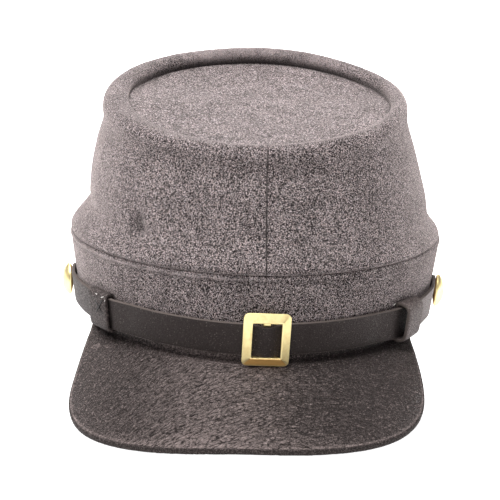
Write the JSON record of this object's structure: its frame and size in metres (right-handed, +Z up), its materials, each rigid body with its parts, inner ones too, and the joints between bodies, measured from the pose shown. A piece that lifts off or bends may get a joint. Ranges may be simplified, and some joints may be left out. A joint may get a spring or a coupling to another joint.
{
  "type": "kepi cap",
  "caption": "Wool kepi cap with a sunken round top in a rolled rim, a leather peak and a leather chin strap with a brass buckle, brass side buttons and an open head hollow.",
  "frame": {"origin": "middle of the footprint, on the surface that the cap rests on", "axes": "+Z up from that surface, front (peak) towards -Y, +X towards the right of someone who looks at the front"},
  "size_m": [0.196, 0.2746, 0.1282],
  "materials": {
    "crown_wool": "heathered grey wool, milled, matt",
    "top_wool": "heathered grey wool, milled, matt",
    "band_wool": "heathered grey wool, milled, matt",
    "peak_leather": "black leather with a pebbled grain, satin",
    "strap_leather": "black leather with a pebbled grain, satin",
    "strap_end_leather": "black leather with a pebbled grain, satin",
    "keeper_leather": "black leather with a pebbled grain, satin",
    "buckle_brass": "polished brass",
    "button_left_brass": "polished brass",
    "button_right_brass": "polished brass"
  },
  "bodies": {
    "root": {"crown": "crown_wool", "crown_top": "top_wool", "band": "band_wool", "peak": "peak_leather", "chin_strap": "strap_leather", "strap_end_left": "strap_end_leather", "keeper_right": "keeper_leather", "buckle": "buckle_brass", "button_left": "button_left_brass", "button_right": "button_right_brass"}
  },
  "joints": []
}
